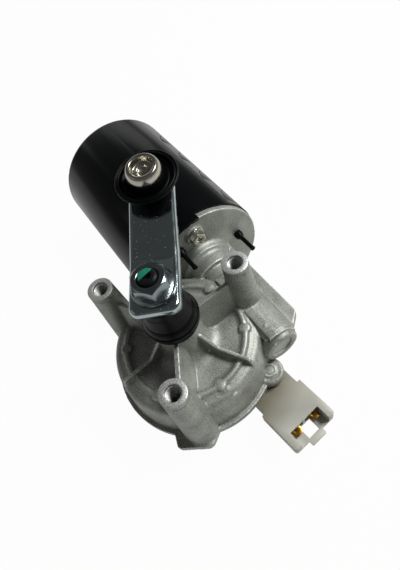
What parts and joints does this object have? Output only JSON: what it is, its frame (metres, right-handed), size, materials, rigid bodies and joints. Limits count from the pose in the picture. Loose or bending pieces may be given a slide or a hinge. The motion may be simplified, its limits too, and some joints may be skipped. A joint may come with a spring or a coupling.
{
  "type": "windscreen wiper motor",
  "caption": "Electric wiper motor with a ribbed die-cast worm gearbox, mounting posts, a crank arm with a ball stud, and a blade connector.",
  "frame": {"origin": "centre of the three mounting post tops, on the output shaft's axis", "axes": "+Z along the output shaft, out of the gearbox; +X away from the motor can; the armature's axis is parallel to X on the +Y side"},
  "size_m": [0.2264, 0.122, 0.1237],
  "materials": {
    "cast_aluminium": "sand-textured die casting",
    "black_nylon": "moulded, matt",
    "rubber": "moulded, matt",
    "zinc_steel": "bright zinc plate",
    "black_paint": "gloss black enamel",
    "sintered_bronze": "oil-soaked sintered bronze",
    "ferrite": "dry pressed, matt",
    "white_nylon": "natural nylon, slightly translucent",
    "phenolic": "brown phenolic",
    "brass": "stamped",
    "spring_steel": "bright",
    "copper": "enamelled or bare copper",
    "bare_steel": "ground, oiled",
    "nickel_steel": "nickel plate"
  },
  "bodies": {
    "housing": {"gear_housing": "cast_aluminium", "rear_cover": "black_nylon", "cover_gasket": "rubber", "cover_screws": "zinc_steel", "motor_yoke": "black_paint", "yoke_end_cap": "black_paint", "end_bush": "sintered_bronze", "magnets": "ferrite", "magnet_clips": "zinc_steel", "neck_bush": "sintered_bronze", "worm_end_bush": "sintered_bronze", "thrust_plug": "white_nylon", "tower_bushes": "sintered_bronze", "shaft_seal": "rubber", "tower_boot": "rubber", "vent_plugs": "rubber", "brush_plate_screws": "zinc_steel", "brush_plate": "phenolic", "brush_holders": "brass", "carbon_brushes": "ferrite", "brush_springs": "spring_steel", "chokes": "copper", "connector_housing": "white_nylon", "connector_terminals": "brass", "contact_carrier": "black_nylon", "park_contacts": "brass"},
    "output": {"output_shaft": "bare_steel", "wheel_hub": "bare_steel", "worm_wheel": "white_nylon", "contact_disc": "brass", "hub_washer": "zinc_steel", "retaining_ring": "spring_steel", "crank_arm": "zinc_steel", "crank_nut": "zinc_steel", "ball_stud": "nickel_steel", "ball_dust_cup": "rubber"},
    "armature": {"armature_shaft": "bare_steel", "armature_core": "bare_steel", "armature_windings": "copper", "commutator": "copper", "commutator_hub": "phenolic", "thrust_ball": "bare_steel"}
  },
  "joints": [
    {"name": "output_spin", "type": "hinge", "parent": "housing", "child": "output", "pos_m": [0, 0, 0], "axis": [0, 0, 1], "continuous": true},
    {"name": "armature_spin", "type": "hinge", "parent": "housing", "child": "armature", "pos_m": [0, 0.0385, -0.0439], "axis": [1, 0, 0], "continuous": true}
  ],
  "couplings": [
    {"joint": "armature_spin", "follows": "output_spin", "ratio": 60}
  ]
}
